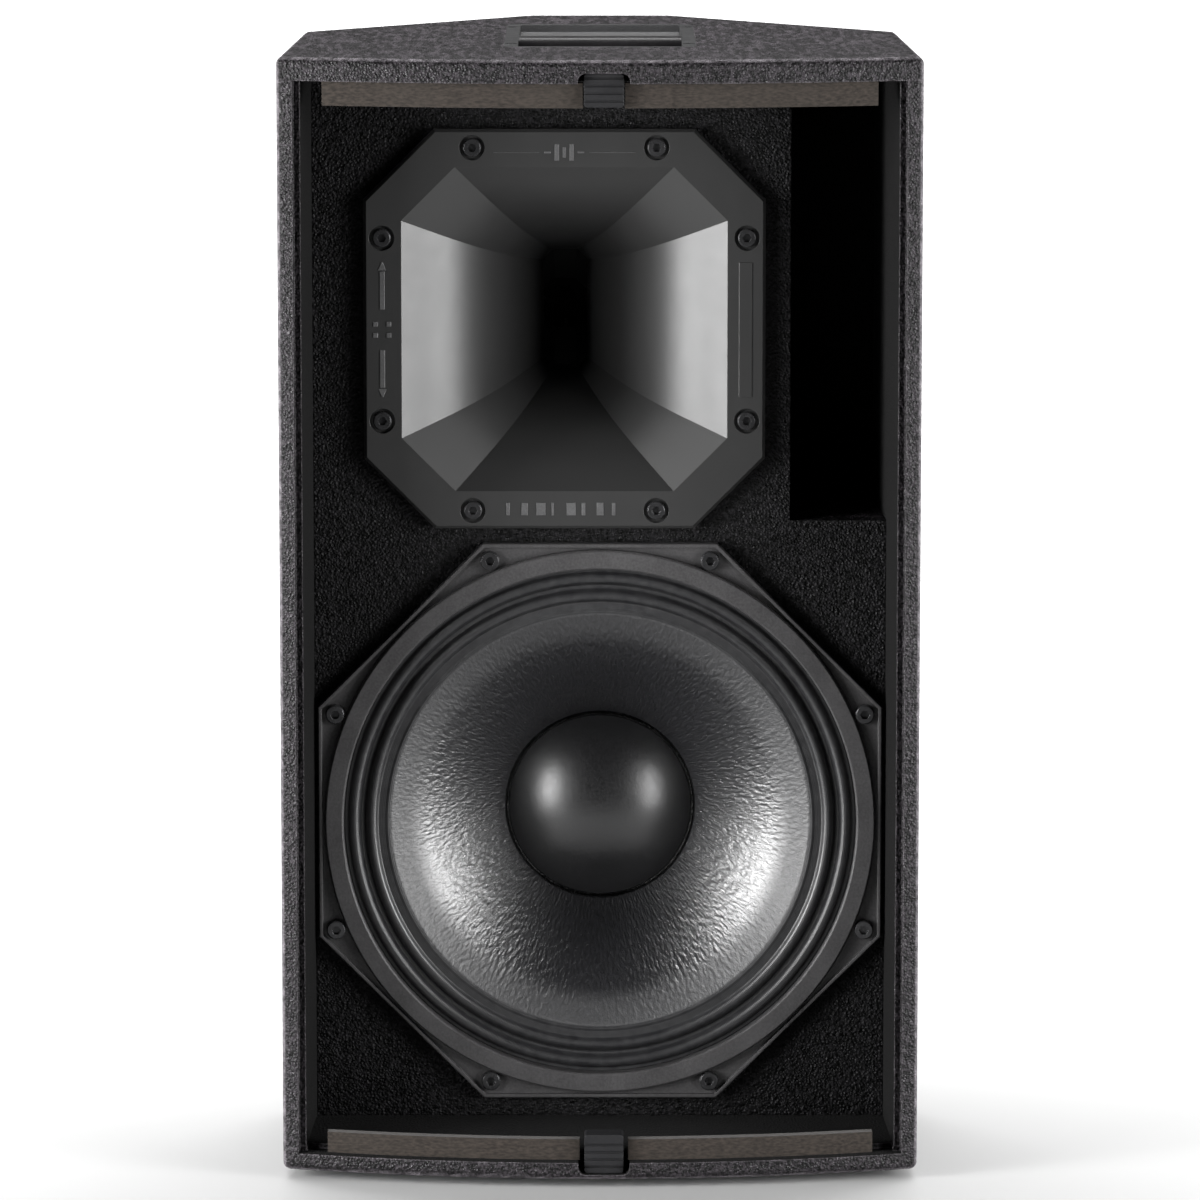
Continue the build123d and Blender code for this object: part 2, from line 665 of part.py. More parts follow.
def handle_pocket(grow):
    """The hollow under the bar: a shallow lip ahead of it, a ramp behind it; grow gives the outer skin."""
    half, lowest = 53 + grow, POCKET_FLOOR - grow
    side = [(HANDLE_FRONT + 6 - grow, TOP), (HANDLE_FRONT + 11 - grow, 718 - grow), (-57 - grow, 716 - grow)]
    side += [(-57 - grow, lowest), (34 + grow, lowest), (50 + grow, 708 - grow)]
    side += [(99, 721.5 - grow), (104 + grow, TOP)]
    face = make_face(Polyline(*side, close=True))
    return Pos(-half, 0, 0) * extrude(Plane.YZ * face, 2 * half)


def handle_cutout():
    """The opening in the top panel: a rebate for the flange and a hole for the dish."""
    rebate = upright(rounded_plan(HANDLE_HALF, HANDLE_FRONT, HANDLE_REAR, 12), TOP - HANDLE_FLANGE, TOP + 5)
    return rebate + handle_pocket(HANDLE_WALL)


def handle_screw_places():
    return [(sx * 57.5, y) for sx in (-1, 1) for y in (-60, 85)]


def handle_dish():
    flange = upright(rounded_plan(HANDLE_HALF, HANDLE_FRONT, HANDLE_REAR, 12), TOP - HANDLE_FLANGE, TOP)
    dish = flange + handle_pocket(HANDLE_WALL) - handle_pocket(0)
    for x, y in handle_screw_places():
        dish -= Pos(x, y, TOP) * Cylinder(2.2, 44)
        dish -= Pos(x, y, TOP - 1) * Cone(2.2, 4.2, 2)
    return dish


def handle_bar():
    """Oval grip across the pocket, a little proud of the top face."""
    width, height, middle, top, half = 30, 22, -22, TOP + 1.5, 53
    section = Pos(middle, top - height / 2) * RectangleRounded(width, height, 9)
    return Pos(-half, 0, 0) * extrude(Plane.YZ * section, 2 * half)


def handle_screws():
    screws = []
    for x, y in handle_screw_places():
        head = Pos(x, y, TOP - 1) * Cone(2, 4, 2)
        screws.append(head + Pos(x, y, TOP - 10) * Cylinder(2, 17))
    return together(screws)


POLE_OUTER = 21.5
POLE_ROOF = 92
POLE_FLANGE = 2.5


def pole_cutout():
    return Pos(0, POLE_CENTRE_Y, CAVITY_LOW - 10) * Cylinder(POLE_OUTER + 0.2, 60)


def pole_screw_places():
    return [(40 * cos(radians(a)), POLE_CENTRE_Y + 40 * sin(radians(a))) for a in (45, 135, 225, 315)]


def pole_socket():
    """Cast cup for a 35 mm stand pole, flanged under the bottom panel."""
    flange_low = FOOT_HEIGHT - POLE_FLANGE
    sleeve = Pos(0, POLE_CENTRE_Y, 0) * upright(Circle(POLE_OUTER), flange_low, POLE_ROOF)
    flange = Pos(0, POLE_CENTRE_Y, 0) * upright(Circle(50), flange_low, FOOT_HEIGHT)
    bore = Pos(0, POLE_CENTRE_Y, 0) * upright(Circle(POLE_RADIUS), flange_low - 1, POLE_ROOF - 3.5)
    cup = sleeve + flange - bore
    for x, y in pole_screw_places():
        cup -= Pos(x, y, FOOT_HEIGHT) * Cylinder(2.4, 20)
    return cup


def upward_screw(x, y, head_low, head_high, head_radius, shank_radius, tip):
    """A pan-head screw that goes up into the bottom panel."""
    head = Pos(x, y, 0) * upright(Circle(head_radius), head_low, head_high)
    return head + Pos(x, y, 0) * upright(Circle(shank_radius), head_high, tip)


def pole_screws():
    low = FOOT_HEIGHT - POLE_FLANGE
    return together([upward_screw(x, y, low - 2, low, 4.5, 2.2, low + 14) for x, y in pole_screw_places()])


def rubber_feet():
    """Four tapered feet, each with a counterbore for its screw."""
    feet = []
    for x, y in FOOT_PLACES:
        foot = Pos(x, y, FOOT_HEIGHT / 2) * Cone(17, 19, FOOT_HEIGHT)
        foot -= Pos(x, y, 0) * upright(Circle(6), -1, 3)
        foot -= Pos(x, y, 0) * Cylinder(2.4, 30)
        feet.append(foot)
    return together(feet)


def foot_screws():
    return together([upward_screw(x, y, 1.2, 3, 5, 1.9, 17) for x, y in FOOT_PLACES])


def rigging_inserts():
    """Blind steel inserts for M10 bolts, two in each side wall."""
    inserts = []
    for z in RIGGING_HEIGHTS:
        body = Pos(-9, 0, 0) * Rot(0, 90, 0) * Cylinder(6.9, 22)
        collar = Pos(0.75, 0, 0) * Rot(0, 90, 0) * Cylinder(12, 1.5)
        bore = Pos(-6.75, 0, 0) * Rot(0, 90, 0) * Cylinder(RIGGING_RADIUS, 20)
        insert = rigging_place(z) * (body + collar - bore)
        inserts += [insert, mirrored(insert)]
    return together(inserts)


# ---- connector panel, crossover and internal leads ----
DISH_HALF = (40, 75)
POCKET_HALF = (28, 62)
DISH_FLOOR = 172
REAR_FACE = REAR_CORNER[1]
DISH_SCREW_SEAT = REAR_FACE + 1.2
SOCKET_HEIGHTS = (CONNECTOR_Z - 27, CONNECTOR_Z + 27)


def rear_rectangle(half, radius):
    return Pos(0, CONNECTOR_Z) * RectangleRounded(2 * half[0], 2 * half[1], radius)


def connector_cutout():
    grown = (POCKET_HALF[0] + 3, POCKET_HALF[1] + 3)
    return slab(rear_rectangle(grown, 8), REAR_FACE - 40, REAR_FACE + 10)


def connector_dish():
    """Pressed steel dish with a flange on the rear panel and a floor that carries the sockets."""
    wall = 2
    outer = (POCKET_HALF[0] + wall, POCKET_HALF[1] + wall)
    dish = slab(rear_rectangle(DISH_HALF, 6), REAR_FACE, OVERALL_DEPTH / 2)
    dish += slab(rear_rectangle(outer, 7), DISH_FLOOR, REAR_FACE)
    dish -= slab(rear_rectangle(POCKET_HALF, 5), DISH_FLOOR + wall, REAR_FACE + 10)
    for z in SOCKET_HEIGHTS:
        dish -= rod((0, z), 12.4, DISH_FLOOR - 5, DISH_FLOOR + 10)
    for place in dish_screw_places():
        dish -= rod(place, 2.2, REAR_FACE - 1, REAR_FACE + 10)
        dish -= rod(place, 3.8, DISH_SCREW_SEAT, REAR_FACE + 10)
    return dish


def dish_screw_places():
    return [(sx * 34, CONNECTOR_Z + sz * 69) for sx in (-1, 1) for sz in (-1, 1)]


def connector_sockets():
    """Two four-pole twist-lock sockets: square flange, round barrel, well and centre core."""
    floor = DISH_FLOOR + 2
    sockets = []
    for z in SOCKET_HEIGHTS:
        body = slab(Pos(0, z) * RectangleRounded(26, 31, 3), floor, floor + 2.5)
        body += rod((0, z), 12.2, floor - 24, floor + 7)
        well = rod((0, z), 10.6, floor - 14, floor + 8) - rod((0, z), 5.5, floor - 15, floor + 5)
        body -= well
        for turn in (45, 225):
            x, dz = 6 * cos(radians(turn)), 6 * sin(radians(turn))
            body += block((x - 3, floor - 30, z + dz - 0.4), (x + 3, floor - 24, z + dz + 0.4))
        sockets.append(body)
    return together(sockets)


def rear_screw(place, face, radius, height, shank, tip):
    """A pan-head screw driven in from the rear."""
    return rod(place, radius, face, face + height) + rod(place, shank, tip, face)


def connector_screws():
    places = dish_screw_places()
    return together([rear_screw(place, DISH_SCREW_SEAT, 3.6, 1.6, 1.9, 184) for place in places])


BOARD_LOW = 27
BOARD_TOP = 28.6
BOARD_HALF = 88
BOARD_FRONT = 44
BOARD_REAR = 104


def crossover():
    """Circuit board on four pillars with coils, capacitors and power resistors."""
    board = block((-BOARD_HALF, BOARD_FRONT, BOARD_LOW), (BOARD_HALF, BOARD_REAR, BOARD_TOP))
    pillars = []
    for x in (-BOARD_HALF + 6, BOARD_HALF - 6):
        for y in (BOARD_FRONT + 6, BOARD_REAR - 6):
            pillar = Pos(x, y, 0) * upright(Circle(4), CAVITY_LOW, BOARD_LOW)
            stud = Pos(x, y, 0) * upright(Circle(1.5), BOARD_LOW, BOARD_TOP)
            head = Pos(x, y, 0) * upright(Circle(3), BOARD_TOP, BOARD_TOP + 2)
            board -= Pos(x, y, BOARD_LOW) * Cylinder(1.7, 20)
            pillars.append(pillar + stud + head)
    coils = []
    for x, y, radius in ((-52, 76, 22), (2, 76, 16)):
        coil = upright(Circle(radius) - Circle(radius * 0.45), BOARD_TOP, BOARD_TOP + radius)
        coils.append(Pos(x, y, 0) * coil)
    capacitors = []
    for index, radius in enumerate((9, 9, 8)):
        lying = Rot(0, 90, 0) * Cylinder(radius, 40)
        capacitors.append(Pos(54, BOARD_FRONT + 10.5 + 19 * index, BOARD_TOP + radius) * lying)
    resistors = []
    for x in (-22, 25):
        resistors.append(block((x - 4.5, 54, BOARD_TOP), (x + 4.5, 96, BOARD_TOP + 9)))
    return {
        "crossover_board": board,
        "crossover_pillars": together(pillars),
        "crossover_coils": together(coils),
        "crossover_capacitors": together(capacitors),
        "crossover_resistors": together(resistors),
    }


def lead(points, radius):
    """A two-core lead as a round tube on straight runs joined by tangent arcs."""
    bends = []
    for before, at, after in zip(points, points[1:], points[2:]):
        run_in = Vector(*at) - Vector(*before)
        run_out = Vector(*after) - Vector(*at)
        turn = radians(run_in.get_angle(run_out))
        bends.append(0.45 * min(run_in.length, run_out.length) / tan(turn / 2))
    path = FilletPolyline(*points, radius=bends)
    start = Plane(origin=points[0], z_dir=Vector(*points[1]) - Vector(*points[0]))
    return sweep(start * Circle(radius), path=path)


def internal_leads():
    """Input lead from the sockets, and one lead to each driver."""
    input_route = [(0, 150, 173), (0, 130, 173), (-4, 116, 152), (-8, 106, 116), (-12, 101, 80)]
    input_route += [(-14, 100, 52), (-14, 100, BOARD_TOP)]
    woofer_route = [(-80, 82, BOARD_TOP), (-80, 82, 54), (-90, 72, 84), (-108, 54, 112), (-116, 34, 142)]
    woofer_route += [(-112, 24, 170), (-104, 23, 188), (-104, 23, 205)]
    horn_route = [(80, 90, BOARD_TOP), (80, 90, 56), (76, 96, 96), (62, 108, 152)]
    horn_route += [(52, 116, 210), (54, 120, 268)]
    horn_route += [(46, 121, 326), (24, 120, 378), (-4, 120, 424), (-23, 120, 458), (-23, 120, 480.9)]
    return {
        "input_lead": lead(input_route, 3),
        "woofer_lead": lead(woofer_route, 3),
        "horn_lead": lead(horn_route, 2.5),
    }


# ---- the whole set of nodes ----
def all_nodes():
    nodes = enclosure_panels()
    nodes["front_baffle"] = front_baffle()
    nodes.update(port_panels())
    nodes["damping_pads"] = damping_pads()
    nodes["grille_strip_top"] = strip_pair(CAVITY_HIGH - 16, CAVITY_HIGH, 13.2)
    nodes["grille_strip_bottom"] = strip_pair(REBATE_LOW, REBATE_LOW + 13.5, 15.5)
    nodes["grille_catch_top"] = grille_catch(CAVITY_HIGH - 15, CAVITY_HIGH + 6)
    nodes["grille_catch_bottom"] = grille_catch(CAVITY_LOW - 11, CAVITY_LOW + 14)
    nodes["woofer_basket"] = woofer_basket()
    nodes["woofer_gasket"] = woofer_gasket()
    nodes["woofer_surround"] = woofer_surround()
    nodes["woofer_cone"] = woofer_cone()
    nodes["woofer_dust_cap"] = woofer_dust_cap()
    nodes["woofer_voice_coil"] = woofer_voice_coil()
    nodes["woofer_spider"] = woofer_spider()
    nodes.update(woofer_motor())
    nodes["woofer_terminals"] = woofer_terminals()
    woofer_screws = [machine_screw(p, -89, 6.2, 5, 2.9, BAFFLE_BACK - 1) for p in woofer_bolt_places()]
    nodes["woofer_screws"] = together(woofer_screws)
    nodes["horn"] = horn()
    nodes["horn_gasket"] = horn_gasket()
    seat = HORN_FRONT + 3
    horn_screws = [machine_screw(p, seat - 3.6, 6, 3.6, 2.4, BAFFLE_BACK - 1) for p in horn_screw_places()]
    nodes["horn_screws"] = together(horn_screws)
    nodes.update(compression_driver())
    nodes["handle_dish"] = handle_dish()
    nodes["handle_bar"] = handle_bar()
    nodes["handle_screws"] = handle_screws()
    nodes["pole_socket"] = pole_socket()
    nodes["pole_socket_screws"] = pole_screws()
    nodes["rubber_feet"] = rubber_feet()
    nodes["foot_screws"] = foot_screws()
    nodes["rigging_inserts"] = rigging_inserts()
    nodes["connector_dish"] = connector_dish()
    nodes["connector_sockets"] = connector_sockets()
    nodes["connector_screws"] = connector_screws()
    nodes.update(crossover())
    nodes.update(internal_leads())
    return nodes


os.makedirs("parts", exist_ok=True)
for name, part in all_nodes().items():
    export_step(part, f"parts/{name}.step")
    print(name, len(part.solids()), round(part.volume / 1000, 2), "cm3")
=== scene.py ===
import json
import math

import bmesh
import bpy
import numpy as np
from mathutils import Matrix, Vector, noise


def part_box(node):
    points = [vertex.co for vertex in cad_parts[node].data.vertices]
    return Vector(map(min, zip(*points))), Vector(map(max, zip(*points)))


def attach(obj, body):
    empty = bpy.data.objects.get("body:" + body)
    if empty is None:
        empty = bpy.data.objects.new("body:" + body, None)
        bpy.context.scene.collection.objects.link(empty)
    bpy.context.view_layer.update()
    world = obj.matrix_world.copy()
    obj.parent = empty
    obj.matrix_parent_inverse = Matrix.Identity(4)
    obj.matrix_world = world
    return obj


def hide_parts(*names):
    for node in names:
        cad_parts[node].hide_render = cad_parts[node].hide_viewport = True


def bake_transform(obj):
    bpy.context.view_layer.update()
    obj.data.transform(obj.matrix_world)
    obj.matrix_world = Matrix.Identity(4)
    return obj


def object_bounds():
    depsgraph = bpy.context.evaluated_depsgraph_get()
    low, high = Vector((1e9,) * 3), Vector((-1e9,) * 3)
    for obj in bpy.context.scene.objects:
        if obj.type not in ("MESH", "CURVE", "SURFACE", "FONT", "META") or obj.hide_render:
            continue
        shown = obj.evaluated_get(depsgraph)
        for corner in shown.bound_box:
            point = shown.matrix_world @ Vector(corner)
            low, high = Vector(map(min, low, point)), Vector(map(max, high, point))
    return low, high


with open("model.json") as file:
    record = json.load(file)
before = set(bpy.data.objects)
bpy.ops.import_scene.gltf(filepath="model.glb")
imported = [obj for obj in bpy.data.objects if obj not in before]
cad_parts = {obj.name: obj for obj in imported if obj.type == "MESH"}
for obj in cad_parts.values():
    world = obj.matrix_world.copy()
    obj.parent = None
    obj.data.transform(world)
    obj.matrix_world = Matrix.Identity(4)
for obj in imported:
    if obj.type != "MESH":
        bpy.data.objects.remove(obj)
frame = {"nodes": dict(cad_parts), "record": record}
CAD_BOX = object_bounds()

NODES = frame["nodes"]
SUBPARTS = {part["node"]: part["material_slot"] for part in frame["record"]["subparts"]}
CABINET = "cabinet"
CONE_BODY = "woofer_cone_assembly"

MM = 0.001


def centre_of(node):
    """The middle of a CAD node's box."""
    low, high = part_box(node)
    return (low + high) / 2


CABINET_CENTRE = (CAD_BOX[0] + CAD_BOX[1]) / 2
WOOFER_CENTRE = centre_of("woofer_cone")
HORN_CENTRE = centre_of("horn_gasket")
CAP_RADIUS = (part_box("woofer_dust_cap")[1].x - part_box("woofer_dust_cap")[0].x) / 2


# ---------------------------------------------------------------- node recipes


class Recipe:
    """A procedural material under construction. Sizes are in metres, in object coordinates."""

    def __init__(self, name):
        self.material = bpy.data.materials.new(name)
        self.material.use_nodes = True
        self.tree = self.material.node_tree
        self.shader = self.tree.nodes["Principled BSDF"]
        self.place = self.add("ShaderNodeTexCoord").outputs["Object"]
        self.normal = None

    def add(self, kind, **settings):
        node = self.tree.nodes.new(kind)
        for key, value in settings.items():
            setattr(node, key, value)
        return node

    def feed(self, socket, value):
        if isinstance(value, bpy.types.NodeSocket):
            self.tree.links.new(value, socket)
        else:
            socket.default_value = value

    def maths(self, operation, *values):
        node = self.add("ShaderNodeMath", operation=operation)
        for socket, value in zip(node.inputs, values):
            self.feed(socket, value)
        return node.outputs[0]

    def vector(self, operation, first, second):
        node = self.add("ShaderNodeVectorMath", operation=operation)
        self.feed(node.inputs[0], first)
        self.feed(node.inputs[1], second)
        return node.outputs["Value" if operation == "DOT_PRODUCT" else "Vector"]

    def stretched(self, factors):
        """Object coordinates multiplied along each axis, for grain that runs one way."""
        return self.vector("MULTIPLY", self.place, factors)

    def around(self, centre, mean_radius):
        """Arc length, radius and depth about the forward axis through centre."""
        offset = self.vector("SUBTRACT", self.place, tuple(centre))
        parts = self.add("ShaderNodeSeparateXYZ")
        self.feed(parts.inputs[0], offset)
        x, depth, z = parts.outputs
        angle = self.maths("ARCTAN2", z, x)
        squares = self.maths("ADD", self.maths("MULTIPLY", x, x), self.maths("MULTIPLY", z, z))
        radius = self.maths("SQRT", squares)
        arc = self.maths("MULTIPLY", angle, mean_radius)
        return arc, radius, depth

    def joined(self, *parts):
        node = self.add("ShaderNodeCombineXYZ")
        for socket, part in zip(node.inputs, parts):
            self.feed(socket, part)
        return node.outputs[0]

    def noise(self, size, detail=3.0, place=None):
        node = self.add("ShaderNodeTexNoise")
        node.inputs["Scale"].default_value = 1 / size
        node.inputs["Detail"].default_value = detail
        self.feed(node.inputs["Vector"], place or self.place)
        return node.outputs[0]

    def cells(self, size, place=None, feature="F1", randomness=1.0):
        node = self.add("ShaderNodeTexVoronoi", feature=feature)
        node.inputs["Scale"].default_value = 1 / size
        node.inputs["Randomness"].default_value = randomness
        self.feed(node.inputs["Vector"], place or self.place)
        return node.outputs["Distance"]

    def ripple(self, along, pitch):
        """A sine from 0 to 1 with the given pitch along a coordinate."""
        turns = self.maths("MULTIPLY", along, 2 * math.pi / pitch)
        return self.maths("MULTIPLY_ADD", self.maths("SINE", turns), 0.5, 0.5)

    def spread(self, value, low, high, start=0.3, end=0.7):
        """Maps a texture from start..end to low..high."""
        node = self.add("ShaderNodeMapRange")
        for key, number in (("From Min", start), ("From Max", end), ("To Min", low), ("To Max", high)):
            node.inputs[key].default_value = number
        self.feed(node.inputs["Value"], value)
        return node.outputs["Result"]

    def blend(self, share, dark, light):
        node = self.add("ShaderNodeMix", data_type="RGBA")
        self.feed(node.inputs["Factor"], share)
        for key, colour in (("A", dark), ("B", light)):
            socket = next(s for s in node.inputs if s.name == key and s.type == "RGBA")
            if isinstance(colour, tuple):
                colour = (*colour, 1.0)
            self.feed(socket, colour)
        return next(s for s in node.outputs if s.type == "RGBA")

    def rounded(self, radius):
        """Softens the shading of hard edges, and returns a mask that is 1 right on an edge."""
        bevel = self.add("ShaderNodeBevel", samples=4)
        bevel.inputs["Radius"].default_value = radius
        self.normal = bevel.outputs["Normal"]
        true_normal = self.add("ShaderNodeNewGeometry").outputs["Normal"]
        facing = self.vector("DOT_PRODUCT", self.normal, true_normal)
        return self.spread(facing, 1.0, 0.0, 0.80, 0.99)

    def glossed(self, roughness, mask):
        """Roughness brought down to that of set glue where the mask is 1; the masks fed in mark the painted
        shadow in the gap at the dust cap's rim.
        """
        glue_roughness = 0.12
        change = self.maths("SUBTRACT", glue_roughness, roughness)
        return self.maths("MULTIPLY_ADD", change, mask, roughness)

    def bump(self, height, depth, strength=1.0):
        node = self.add("ShaderNodeBump")
        node.inputs["Distance"].default_value = depth
        node.inputs["Strength"].default_value = strength
        self.feed(node.inputs["Height"], height)
        if self.normal is not None:
            self.feed(node.inputs["Normal"], self.normal)
        self.normal = node.outputs["Normal"]

    def done(self, colour, roughness, **constants):
        """Feeds the shader; constants are its other sockets, named with _ for a space."""
        if isinstance(colour, tuple):
            colour = (*colour, 1.0)
        self.feed(self.shader.inputs["Base Color"], colour)
        self.feed(self.shader.inputs["Roughness"], roughness)
        if self.normal is not None:
            self.feed(self.shader.inputs["Normal"], self.normal)
        for key, value in constants.items():
            self.shader.inputs[key.replace("_", " ")].default_value = value
        return self.material


# ---------------------------------------------------------------- materials


FRONT_EDGE_DEPTH = 60 * MM
PLATED_STEEL = (0.58, 0.57, 0.54)


def rounding_mask(recipe, facing):
    """1 on the rounded edges round the top and up both sides of the front, where a highlight is painted."""
    parts = recipe.add("ShaderNodeSeparateXYZ")
    recipe.feed(parts.inputs[0], facing)
    sideways, _, upwards = (recipe.maths("ABSOLUTE", part) for part in parts.outputs)
    above = recipe.maths("MULTIPLY", recipe.spread(upwards, 0.0, 1.0, 0.55, 0.75),
                         recipe.spread(upwards, 1.0, 0.0, 0.96, 0.99))
    beside = recipe.maths("MULTIPLY", recipe.spread(sideways, 0.0, 1.0, 0.55, 0.75),
                          recipe.spread(sideways, 1.0, 0.0, 0.96, 0.99))
    places = recipe.add("ShaderNodeSeparateXYZ")
    recipe.feed(places.inputs[0], recipe.place)
    front = recipe.maths("LESS_THAN", places.outputs[1], CAD_BOX[0].y + FRONT_EDGE_DEPTH)
    return recipe.maths("MAXIMUM", above, recipe.maths("MULTIPLY", beside, front))


def pebbled_paint(name, dark, light, edge_highlight_colour, specular):
    """Pebbly cabinet paint, speckled, with a painted highlight along its edges.

    Faces that look inwards are nearly black, and faces that look up get broader pale blotches, a painted
    highlight on the top.
    """
    recipe = Recipe(name)
    edge = recipe.rounded(1.6 * MM)
    pebbles = recipe.cells(1.7 * MM)
    fine = recipe.noise(0.8 * MM, 2.0)
    recipe.bump(pebbles, 0.7 * MM)
    recipe.bump(fine, 0.35 * MM, 0.8)
    drawn = recipe.stretched((1, 0.35, 1))
    grains = recipe.maths("MULTIPLY_ADD", recipe.noise(1.8 * MM, 3.0), 0.6,
                          recipe.maths("MULTIPLY", recipe.noise(3.5 * MM, 2.0, drawn), 0.4))
    colour = recipe.blend(recipe.spread(grains, 0.0, 1.0, 0.45, 0.60), dark, light)
    clouds = recipe.spread(recipe.noise(90 * MM, 2.0), 0.0, 0.25)
    colour = recipe.blend(clouds, colour, dark)
    facing = recipe.add("ShaderNodeNewGeometry").outputs["Normal"]
    # Painted highlight: faces that look up get pale blotches where the top light falls on them.
    blotches = recipe.noise(4 * MM, 3.0, recipe.stretched((1, 0.22, 1)))
    upwards = recipe.spread(recipe.vector("DOT_PRODUCT", facing, (0, 0, 1)), 0.0, 1.0, 0.9, 0.99)
    pale = tuple(value * 2 for value in light)
    top_highlight_share = recipe.maths("MULTIPLY", upwards, recipe.spread(blotches, 0.0, 0.6, 0.48, 0.6))
    colour = recipe.blend(top_highlight_share, colour, pale)
    # Painted highlight: the edges are blended towards a lighter colour, unevenly along their length.
    edge = recipe.maths("MAXIMUM", edge, rounding_mask(recipe, facing))
    edge_highlight = recipe.maths("MULTIPLY", edge, recipe.spread(recipe.noise(6 * MM, 4.0), 0.2, 0.8, 0.4, 0.65))
    colour = recipe.blend(edge_highlight, colour, edge_highlight_colour)
    from_centre = recipe.vector("SUBTRACT", recipe.place, tuple(CABINET_CENTRE))
    outwards = recipe.vector("DOT_PRODUCT", from_centre, facing)
    inner = recipe.spread(outwards, 1.0, 0.0, 0.0, 0.03)
    colour = recipe.blend(inner, colour, tuple(value * 0.4 for value in dark))
    roughness = recipe.spread(recipe.noise(2.4 * MM, 2.0, drawn), 0.26, 0.66)
    roughness = recipe.maths("MAXIMUM", roughness, recipe.maths("MULTIPLY", inner, 0.95))
    return recipe.done(colour, roughness, Specular_IOR_Level=specular)


def moulded(name, colour, roughness, grain, depth, edge_radius, mottle=0.25, uneven=0.06, **constants):
    """Moulded, cast or coated surfaces: fine grain, slight mottling and softened edges with a painted
    highlight.
    """
    recipe = Recipe(name)
    edge = recipe.rounded(edge_radius)
    recipe.bump(recipe.noise(grain, 3.0), depth)
    light = tuple(min(1.0, value * (1 + mottle)) for value in colour)
    dark = tuple(value * (1 - mottle) for value in colour)
    patches = recipe.maths("MULTIPLY_ADD", recipe.noise(grain * 1.7, 2.0), 0.6,
                           recipe.maths("MULTIPLY", recipe.noise(28 * MM, 3.0), 0.4))
    shade = recipe.blend(recipe.spread(patches, 0.0, 1.0, 0.35, 0.65), dark, light)
    # Painted highlight: the edges are blended towards a lighter colour.
    edge_highlight_colour = tuple(value * 1.5 + 0.015 for value in colour)
    shade = recipe.blend(recipe.maths("MULTIPLY", edge, 0.35), shade, edge_highlight_colour)
    gloss = recipe.spread(recipe.noise(12 * MM, 4.0), roughness - uneven, roughness + uneven)
    return recipe.done(shade, gloss, **constants)


def strip_felt():
    """Brown-grey felted strip with short fibres along its length."""
    recipe = Recipe("strip_felt")
    recipe.rounded(0.8 * MM)
    fibres = recipe.noise(1.3 * MM, 4.0, recipe.stretched((0.35, 1.0, 1.0)))
    recipe.bump(fibres, 0.35 * MM)
    shade = recipe.blend(recipe.spread(fibres, 0.0, 1.0), (0.009, 0.007, 0.0055), (0.034, 0.027, 0.022))
    fade = recipe.spread(recipe.noise(40 * MM, 2.0), 0.0, 0.35)
    shade = recipe.blend(fade, shade, (0.026, 0.022, 0.018))
    return recipe.done(shade, 0.85, Sheen_Weight=0.08, Sheen_Roughness=0.5, Specular_IOR_Level=0.2)


def surround_cloth():
    """Doped cloth of the surround: a tight weave sealed with a slightly glossy coat."""
    recipe = Recipe("surround_cloth")
    arc, radius, _ = recipe.around(WOOFER_CENTRE, 155 * MM)
    warp = recipe.ripple(arc, 1.1 * MM)
    weft = recipe.ripple(radius, 1.1 * MM)
    recipe.bump(recipe.maths("MULTIPLY", warp, weft), 0.10 * MM, 0.8)
    dope = recipe.noise(5 * MM, 3.0)
    recipe.bump(dope, 0.10 * MM, 0.5)
    shade = recipe.blend(recipe.spread(dope, 0.0, 1.0), (0.009, 0.009, 0.010), (0.017, 0.017, 0.018))
    return recipe.done(shade, recipe.spread(dope, 0.36, 0.44))


def cone_paper():
    """Coated pulp of the cone, with fibres and puckers drawn out towards the centre."""
    recipe = Recipe("cone_paper")
    arc, radius, _ = recipe.around(WOOFER_CENTRE, 100 * MM)
    drawn = recipe.joined(arc, recipe.maths("MULTIPLY", radius, 0.5), 0.0)
    puckers = recipe.noise(1.6 * MM, 3.0, drawn)
    fibres = recipe.noise(0.9 * MM, 3.0)
    recipe.bump(puckers, 0.46 * MM)
    recipe.bump(fibres, 0.20 * MM, 0.7)
    shade = recipe.blend(recipe.spread(puckers, 0.0, 1.0), (0.002, 0.002, 0.0025), (0.012, 0.012, 0.014))
    # Painted shadow: a black ring on the pulp just outside the dust cap, where the gap at the glue line is
    # shaded.
    glued = recipe.spread(radius, 1.0, 0.0, CAP_RADIUS + 0.8 * MM, CAP_RADIUS + 1.8 * MM)
    shade = recipe.blend(glued, shade, (0.001, 0.001, 0.001))
    matt_edge = recipe.spread(radius, 0.0, 0.24, 114 * MM, 125 * MM)
    roughness = recipe.maths("ADD", recipe.spread(fibres, 0.27, 0.40), matt_edge)
    return recipe.done(shade, recipe.glossed(roughness, glued), Specular_IOR_Level=1.0)


def cap_paper():
    """Smooth satin pulp of the dust cap with a fine tooth."""
    recipe = Recipe("cap_paper")
    tooth = recipe.noise(1.4 * MM, 3.0)
    recipe.bump(tooth, 0.07 * MM, 0.7)
    recipe.bump(recipe.noise(9 * MM, 2.0), 0.2 * MM, 0.3)
    shade = recipe.blend(recipe.spread(tooth, 0.0, 1.0), (0.003, 0.003, 0.0035), (0.009, 0.009, 0.010))
    _, radius, _ = recipe.around(WOOFER_CENTRE, CAP_RADIUS)
    # Painted shadow: the cap's outer rim goes black, where the gap at the glue line is shaded.
    rim = recipe.spread(radius, 0.0, 1.0, CAP_RADIUS - 2.0 * MM, CAP_RADIUS - 1.2 * MM)
    shade = recipe.blend(rim, shade, (0.001, 0.001, 0.001))
    return recipe.done(shade, recipe.glossed(recipe.spread(tooth, 0.29, 0.37), rim), Specular_IOR_Level=1.0)


